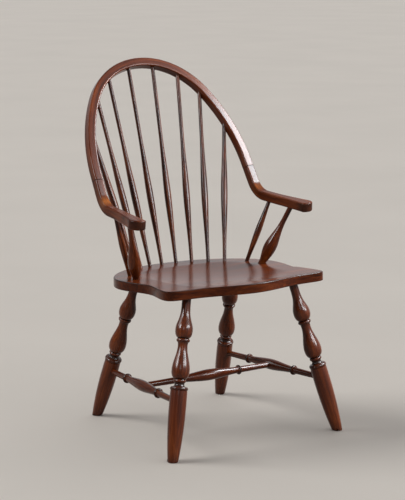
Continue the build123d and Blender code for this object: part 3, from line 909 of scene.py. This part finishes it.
def age_arm(piece, bow, line, glow_strength):
    """Dark end grain with painted shade on the hand's end, a painted glow of light inside the bend, and
    thinner lacquer on the hand.
    """
    points = points_of(piece)
    local = seen_from(line.hand, points)
    # Darker end grain with painted shade on the hand's end.
    length = bow.inner_end[0] - bow.outer_end[0]
    share = np.clip((local[:, 0] - bow.outer_end[0]) / length + END_START, 0, 1)
    wall = np.clip((bow.depth / 2 - np.abs(local[:, 2])) / bow.edge_round, 0, 1)
    glaze_and_shade = np.empty(len(points), np.float32)
    piece.data.attributes["groove"].data.foreach_get("value", glaze_and_shade)
    mark(piece, "groove", np.maximum(glaze_and_shade, END_GRAIN_AND_SHADE * share * wall))

    # Painted light: an amber glow of light painted inside the bend.
    away = points - np.array(line.bend_centre)
    ahead, back = away @ np.array(line.head), -away @ np.array(line.inward)
    turned = np.arctan2(ahead, back) / line.bend
    inside = np.clip((bow.bend_radius - np.hypot(ahead, back)) / (bow.depth / 2), 0, 1)
    mark(piece, "worn", glow_strength * inside * np.exp(-((turned - GLOW_MIDDLE) / GLOW_REACH) ** 2))
    mark(piece, "handled", np.clip((turned - HANDLED_START) / HANDLED_RISE, 0, 1))


# ---------------------------------------------------------------- operators

SEAT_MIDDLE = (0.0, -0.07)  # of the rings of faces on the seat
RIM_SLACK = 0.00005  # how nearly level the points of the measured outline are
RIM_STEPS = 5  # faces across a rounded rim of the seat
RIM_PAINTED_SHADE = 0.75  # strength of the painted shade along the rim
LEG_BEADS, STRETCHER_BEADS = 0.6, 1.0  # strength of the painted shade on their beads
LEG_SPARE = 0.08  # length turned below the floor, then cut away
ARM_GLOW = {"arm_left": 0.22, "arm_right": 0.45}  # strength of the painted glow of light inside each bend


class WINDSOR_OT_seat(bpy.types.Operator):
    """Model the seat plank: shield outline, rounded rims and a hollowed top"""
    bl_idname = "windsor.seat"
    bl_label = "Seat"

    def execute(self, context):
        seat = context.scene.windsor_seat
        plane = Matrix.Translation((0, 0, seat.height)) @ Matrix.Rotation(-seat.slope, 4, "X")
        local = seen_from(plane, points_of(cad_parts["seat"]))
        rim = local[np.abs(local[:, 2] + seat.thickness - seat.edge_round) < RIM_SLACK][:, :2]
        rim = np.unique(rim.round(6), axis=0)
        rim = rim[np.argsort(np.arctan2(*(rim - SEAT_MIDDLE).T[::-1]))]
        piece = drawn_plan("wood_seat", self.eased(seat, rim))
        draw_straight((0, 0, -seat.thickness))
        close_up(piece)
        for level in (0, -seat.thickness):
            ease_edges(piece, lambda middles: np.abs(middles[:, 2] - level) < SAME_POINT,
                       seat.edge_round, RIM_STEPS)
        pick_face(piece, UP)
        size = 1.0
        for ring in range(1, seat.rings):
            next_size = 1 - ring / seat.rings
            shrink = next_size / size
            bpy.ops.mesh.extrude_region_move()
            bpy.ops.transform.resize(value=(shrink, shrink, 1), center_override=(*SEAT_MIDDLE, 0))
            size = next_size
        bpy.ops.mesh.merge(type="CENTER")
        close_up(piece)

        points = points_of(piece)
        top = points[:, 2] > -SAME_POINT
        luck = np.random.default_rng(SEED).uniform(-1, 1, 3)
        mark(piece, "grain", points[:, [1, 2, 0]] + luck)
        # Painted shade along the seat's rounded rims.
        mark(piece, "groove", RIM_PAINTED_SHADE * (~top & (points[:, 2] > -seat.edge_round)))
        points[top, 2] -= self.hollow(seat, points[top, 0], points[top, 1])
        move_points(piece, points)
        settle(piece, plane)
        even_out(piece)
        hand_over(piece, "seat", wood_for("seat"))
        return {"FINISHED"}

    @staticmethod
    def eased(seat, rim):
        """Outline with evenly spaced points, its two front corners rounded further."""
        closed = np.vstack((rim, rim[:1]))
        run = np.concatenate(([0], np.cumsum(np.linalg.norm(np.diff(closed, axis=0), axis=1))))
        count = int(run[-1] / seat.rim_step)
        stations = np.arange(count) * run[-1] / count
        even = np.column_stack([np.interp(stations, run, closed[:, axis]) for axis in (0, 1)])
        shifts, weights = bell(seat.corner_ease, seat.rim_step)
        smooth = sum(weight * np.roll(even, shift, axis=0) for shift, weight in zip(shifts, weights))
        side = np.where(even[:, 0] < 0, -1.0, 1.0)
        corner = np.column_stack((side * seat.corner[0], np.full(count, seat.corner[1])))
        distance = np.linalg.norm(even - corner, axis=1)
        near = np.exp(-(distance / seat.corner_reach) ** 4)[:, None]
        outward = np.column_stack((side, -np.ones(count))) * seat.corner_push / math.sqrt(2)
        return even + near * (smooth - even + outward)

    @staticmethod
    def hollow(seat, x, y):
        """Depth of the hollow at plan points."""
        def swell(t):
            return 1 - t ** 4 - (1 - t) ** 4
        u = np.clip((x + seat.dish_half_width) / (2 * seat.dish_half_width), 0, 1)
        v = np.clip((y - seat.dish_front) / (seat.dish_back - seat.dish_front), 0, 1)
        pull = (seat.dish_depth + seat.dish_rise) / swell(0.5) ** 2
        return np.maximum(pull * swell(u) * swell(v) - seat.dish_rise, 0)


class WINDSOR_OT_hoop(bpy.types.Operator):
    """Model the bent hoop of the bow from seam to seam"""
    bl_idname = "windsor.hoop"
    bl_label = "Hoop"

    def execute(self, context):
        bow = context.scene.windsor_bow
        line = BowLine(bow)
        flip = Vector((-1, 1, 1))
        right_seam, right_head = line.seam * flip, line.head * flip
        apex = Vector(bow.apex)
        side = bow.end_angle - bow.crown_angle
        piece = bow_stock("wood_bow_hoop", bow, right_seam, -right_head, line.front)
        draw_straight(-right_head * bow.seam_line)
        draw_straight(-right_head * (bow.tail - bow.seam_line))
        draw_round(apex + line.lay(-line.side_x, -line.side_drop), line.front, side, SIDE_STEPS)
        draw_round(apex + line.lay(0, -bow.crown_radius), line.front, 2 * bow.crown_angle, CROWN_STEPS)
        draw_round(apex + line.lay(line.side_x, -line.side_drop), line.front, side, SIDE_STEPS)
        draw_straight(line.head * (bow.tail - bow.seam_line))
        draw_straight(line.head * bow.seam_line)
        close_up(piece)
        seams = ((line.seam, line.head), (right_seam, right_head))
        for seam, head in seams:
            ease_seam(piece, bow, seam, head)
        luck = np.random.default_rng(SEED + 1)
        mark_bow(piece, line.hoop_line(), line.front, luck, bow.seam_line, seams)
        even_out(piece)
        hand_over(piece, "bow_hoop", wood_for("bow"))
        return {"FINISHED"}


class WINDSOR_OT_arms(bpy.types.Operator):
    """Model the arm pieces: a round-ended hand that widens, a bend and a straight head"""
    bl_idname = "windsor.arms"
    bl_label = "Arms"

    def execute(self, context):
        bow = context.scene.windsor_bow
        line = BowLine(bow)
        half = bow.depth / 2
        model = drawn_plan("arm_stock", hand_plan(bow))
        draw_straight((0, 0, bow.depth))
        close_up(model)
        ease_edges(model, lambda middles: (middles[:, 0] > SAME_POINT)
                   & (np.abs(middles[:, 2] - half) > half - SAME_POINT), bow.edge_round, ROUND_STEPS)
        settle(model, line.hand @ Matrix.Translation((0, 0, -half)))
        pick_face(model, -line.arm)
        draw_round(line.bend_centre, line.bend_axis, line.bend, BEND_STEPS)
        draw_straight(-line.head * (bow.arm_head - bow.seam_line))
        draw_straight(-line.head * bow.seam_line)
        close_up(model)
        seam = (line.seam, line.head)
        ease_seam(model, bow, *seam)
        for node, seed in (("arm_left", SEED + 2), ("arm_right", SEED + 3)):
            piece = copy_of(model, "wood_" + node)
            luck = np.random.default_rng(seed)
            mark_bow(piece, line.arm_line(), line.front, luck, bow.seam_line, (seam,))
            age_arm(piece, bow, line, ARM_GLOW[node])
            if node == "arm_right":
                settle(piece, Matrix.Scale(-1, 4, ACROSS))
                close_up(piece)
            even_out(piece)
            hand_over(piece, node, wood_for("arm"))
        bpy.data.objects.remove(model)
        return {"FINISHED"}


class WINDSOR_OT_back_spindles(bpy.types.Operator):
    """Turn the eight back spindles, in four lengths"""
    bl_idname = "windsor.back_spindles"
    bl_label = "Back Spindles"

    def execute(self, context):
        for number in range(1, 5):
            turned_group([f"back_spindle_{number}", f"back_spindle_{9 - number}"], UP, "spindle")
        return {"FINISHED"}


class WINDSOR_OT_arm_spindles(bpy.types.Operator):
    """Turn the short spindles under the arms"""
    bl_idname = "windsor.arm_spindles"
    bl_label = "Arm Spindles"

    def execute(self, context):
        turned_group(["arm_spindle_left", "arm_spindle_right"], UP, "spindle")
        return {"FINISHED"}


class WINDSOR_OT_arm_posts(bpy.types.Operator):
    """Turn the vase-shaped arm posts"""
    bl_idname = "windsor.arm_posts"
    bl_label = "Arm Posts"

    def execute(self, context):
        turned_group(["arm_post_left", "arm_post_right"], UP, "post")
        return {"FINISHED"}


class WINDSOR_OT_legs(bpy.types.Operator):
    """Turn the four legs and cut their feet level"""
    bl_idname = "windsor.legs"
    bl_label = "Legs"

    def execute(self, context):
        for end in ("front", "rear"):
            nodes = [f"{end}_leg_left", f"{end}_leg_right"]
            turned_group(nodes, DOWN, "leg", bead_shade=LEG_BEADS, below_floor=LEG_SPARE)
        return {"FINISHED"}


class WINDSOR_OT_stretchers(bpy.types.Operator):
    """Turn the side stretchers and the cross stretcher"""
    bl_idname = "windsor.stretchers"
    bl_label = "Stretchers"

    def execute(self, context):
        sides = ["side_stretcher_left", "side_stretcher_right"]
        turned_group(sides, FORWARD, "stretcher", bead_shade=STRETCHER_BEADS)
        turned_group(["cross_stretcher"], ACROSS, "stretcher", bead_shade=STRETCHER_BEADS)
        return {"FINISHED"}


class WINDSOR_OT_dowels(bpy.types.Operator):
    """Give the hidden dowels of the bow their bare wood"""
    bl_idname = "windsor.dowels"
    bl_label = "Dowels"

    def execute(self, context):
        scene = context.scene
        wood = bare_wood("bare_dowel_wood", scene.windsor_finish, scene.windsor_bow.lean)
        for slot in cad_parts["bow_joint_dowels"].material_slots:
            slot.material = wood
        return {"FINISHED"}


CHAIR_MIDDLE = (0, 0, 0.55)
# Lamps: place, what they look at, width, height, and the collection that they pass over
LAMPS = {
    "key": ((1.924, -0.802, 2.235), (0.32, 0.298, 0.835), 1.0, 0.93, "even_floor"),
    "side": ((1.76, -2.44, 1.59), CHAIR_MIDDLE, 1.0, 0.7, "even_floor_and_seat"),
    "middle": ((0.55, -2.75, 1.87), CHAIR_MIDDLE, 0.8, 0.6, "even_floor_and_seat"),
    "high": ((1.07, -1.33, 2.27), (-0.2, 0.1, 0.75), 0.6, 0.55, "even_floor"),
    "left": ((-2.6, 0.1, 1.9), CHAIR_MIDDLE, 0.8, 0.9, "even_floor_and_seat"),
    "front": ((-2.6, -3.4, 2.6), CHAIR_MIDDLE, 1.2, 1.2, "even_floor"),
}
FAR_PLACE, FAR_WAY, FAR_ANGLE = (-2.4, 2.0, 2.5), (0.6, -0.5, -0.62), math.radians(35)
FLOOR_SIDES, FLOOR_RADIUS = 128, 90
FLOOR_CLOUDS, FLOOR_RANGE, FLOOR_SHADE = 1.3, (0.3, 0.7), 0.96  # scale, range and depth of its shades
FLOOR_ROUGHNESS, FLOOR_GLOSS = 0.8, 0.2
FILM_WIDTH = 36  # in millimetres


class WINDSOR_OT_stage(bpy.types.Operator):
    """Set up the floor, the soft studio lights and the camera"""
    bl_idname = "windsor.stage"
    bl_label = "Stage"

    def execute(self, context):
        stage = context.scene.windsor_stage
        clear_selection()
        bpy.ops.mesh.primitive_circle_add(vertices=FLOOR_SIDES, radius=FLOOR_RADIUS, fill_type="NGON")
        floor = named("floor")
        floor.data.materials.append(self.floor_material(stage))
        context.scene.world = self.surround(stage)
        self.left_out("even_floor", [floor])
        self.left_out("even_floor_and_seat", [floor, bpy.data.objects["wood_seat"]])
        for name, row in LAMPS.items():
            self.lamp(stage, name, *row)
        far = self.light("SUN", "far_light", FAR_PLACE, Vector(FAR_WAY))
        far.data.angle = FAR_ANGLE
        far.data.energy = stage.sun
        context.scene.view_settings.view_transform = "Standard"
        self.camera(context, stage)
        return {"FINISHED"}

    @staticmethod
    def surround(stage):
        """Soft light all round, brighter on one side."""
        world = bpy.data.worlds.new("soft_surround")
        world.use_nodes = True
        tree = world.node_tree
        way = add(tree, "ShaderNodeTexCoord").outputs["Generated"]
        towards = add(tree, "ShaderNodeVectorMath", {"operation": "DOT_PRODUCT"}, {
            0: way, 1: stage.surround_side}).outputs["Value"]
        background = tree.nodes["Background"]
        background.inputs["Color"].default_value = rgba(stage.surround)
        strength = spread(tree, towards, -1, 1, stage.surround_low, stage.surround_high)
        tree.links.new(strength, background.inputs["Strength"])
        return world

    @staticmethod
    def left_out(name, things):
        """Collection that keeps a near light off some things, so that they stay even."""
        unlit = bpy.data.collections.new(name)
        for thing in things:
            unlit.objects.link(thing)
        for entry in unlit.collection_objects:
            entry.light_linking.link_state = "EXCLUDE"

    @staticmethod
    def light(kind, name, place, way):
        """Light of a kind that looks along a way."""
        clear_selection()
        bpy.ops.object.light_add(type=kind, location=place)
        light = named(name)
        light.rotation_euler = way.to_track_quat("-Z", "Y").to_euler()
        return light

    def lamp(self, stage, name, place, target, width, height, unlit):
        """Rectangular soft light that looks at a target and passes over what is left out."""
        lamp = self.light("AREA", name + "_light", place, Vector(target) - Vector(place))
        lamp.data.shape = "RECTANGLE"
        lamp.data.size, lamp.data.size_y = width, height
        lamp.data.energy = getattr(stage, name)
        lamp.data.color = stage.lamp_colour
        lamp.light_linking.receiver_collection = bpy.data.collections[unlit]

    @staticmethod
    def camera(context, stage):
        """Camera at the photograph's angle."""
        clear_selection()
        bpy.ops.object.camera_add(location=stage.camera_place)
        camera = named("view_camera")
        forward = Vector(stage.camera_forward).normalized()
        camera.matrix_world = basis(stage.camera_place, forward.cross(UP), -forward)
        camera.data.lens = stage.lens
        camera.data.sensor_width = FILM_WIDTH
        camera.data.dof.use_dof = False
        context.scene.camera = camera

    @staticmethod
    def floor_material(stage):
        """Pale matt floor with faint unevenness."""
        material, tree = blank_material("pale_floor")
        place = add(tree, "ShaderNodeTexCoord").outputs["Object"]
        noise = add(tree, "ShaderNodeTexNoise", {}, {
            "Vector": place, "Scale": FLOOR_CLOUDS, "Detail": 3.0})
        shade = spread(tree, noise.outputs["Fac"], *FLOOR_RANGE)
        colour = blend_colour(tree, shade, rgba(stage.floor, FLOOR_SHADE), rgba(stage.floor))
        surface(tree, {
            "Base Color": colour, "Roughness": FLOOR_ROUGHNESS, "Specular IOR Level": FLOOR_GLOSS})
        return material


PIECES = (
    WINDSOR_OT_seat, WINDSOR_OT_hoop, WINDSOR_OT_arms, WINDSOR_OT_back_spindles, WINDSOR_OT_arm_spindles,
    WINDSOR_OT_arm_posts, WINDSOR_OT_legs, WINDSOR_OT_stretchers, WINDSOR_OT_dowels, WINDSOR_OT_stage,
)
SETTINGS = {
    "windsor_bow": WindsorBow, "windsor_seat": WindsorSeat, "windsor_turning": WindsorTurning,
    "windsor_finish": WindsorFinish, "windsor_stage": WindsorStage,
}


class WINDSOR_PT_panel(bpy.types.Panel):
    """The chair's pieces and settings"""
    bl_idname = "WINDSOR_PT_panel"
    bl_label = "Windsor Armchair"
    bl_space_type = "VIEW_3D"
    bl_region_type = "UI"
    bl_category = "Windsor"

    def draw(self, context):
        for piece in PIECES:
            self.layout.operator(piece.bl_idname)
        for name, group in SETTINGS.items():
            box = self.layout.box()
            box.label(text=name.split("_")[1].capitalize())
            for field in group.__annotations__:
                box.prop(getattr(context.scene, name), field)


def register():
    """Add the chair's classes and settings to Blender."""
    for name, group in SETTINGS.items():
        bpy.utils.register_class(group)
        setattr(bpy.types.Scene, name, PointerProperty(type=group))
    for piece in PIECES:
        bpy.utils.register_class(piece)
    bpy.utils.register_class(WINDSOR_PT_panel)


def unregister():
    """Take the chair's classes and settings out of Blender."""
    bpy.utils.unregister_class(WINDSOR_PT_panel)
    for piece in reversed(PIECES):
        bpy.utils.unregister_class(piece)
    for name, group in reversed(SETTINGS.items()):
        delattr(bpy.types.Scene, name)
        bpy.utils.unregister_class(group)


def main():
    """Build every piece in order."""
    register()
    bpy.ops.windsor.seat()
    bpy.ops.windsor.hoop()
    bpy.ops.windsor.arms()
    bpy.ops.windsor.back_spindles()
    bpy.ops.windsor.arm_spindles()
    bpy.ops.windsor.arm_posts()
    bpy.ops.windsor.legs()
    bpy.ops.windsor.stretchers()
    bpy.ops.windsor.dowels()
    bpy.ops.windsor.stage()


if __name__ == "__main__":
    main()
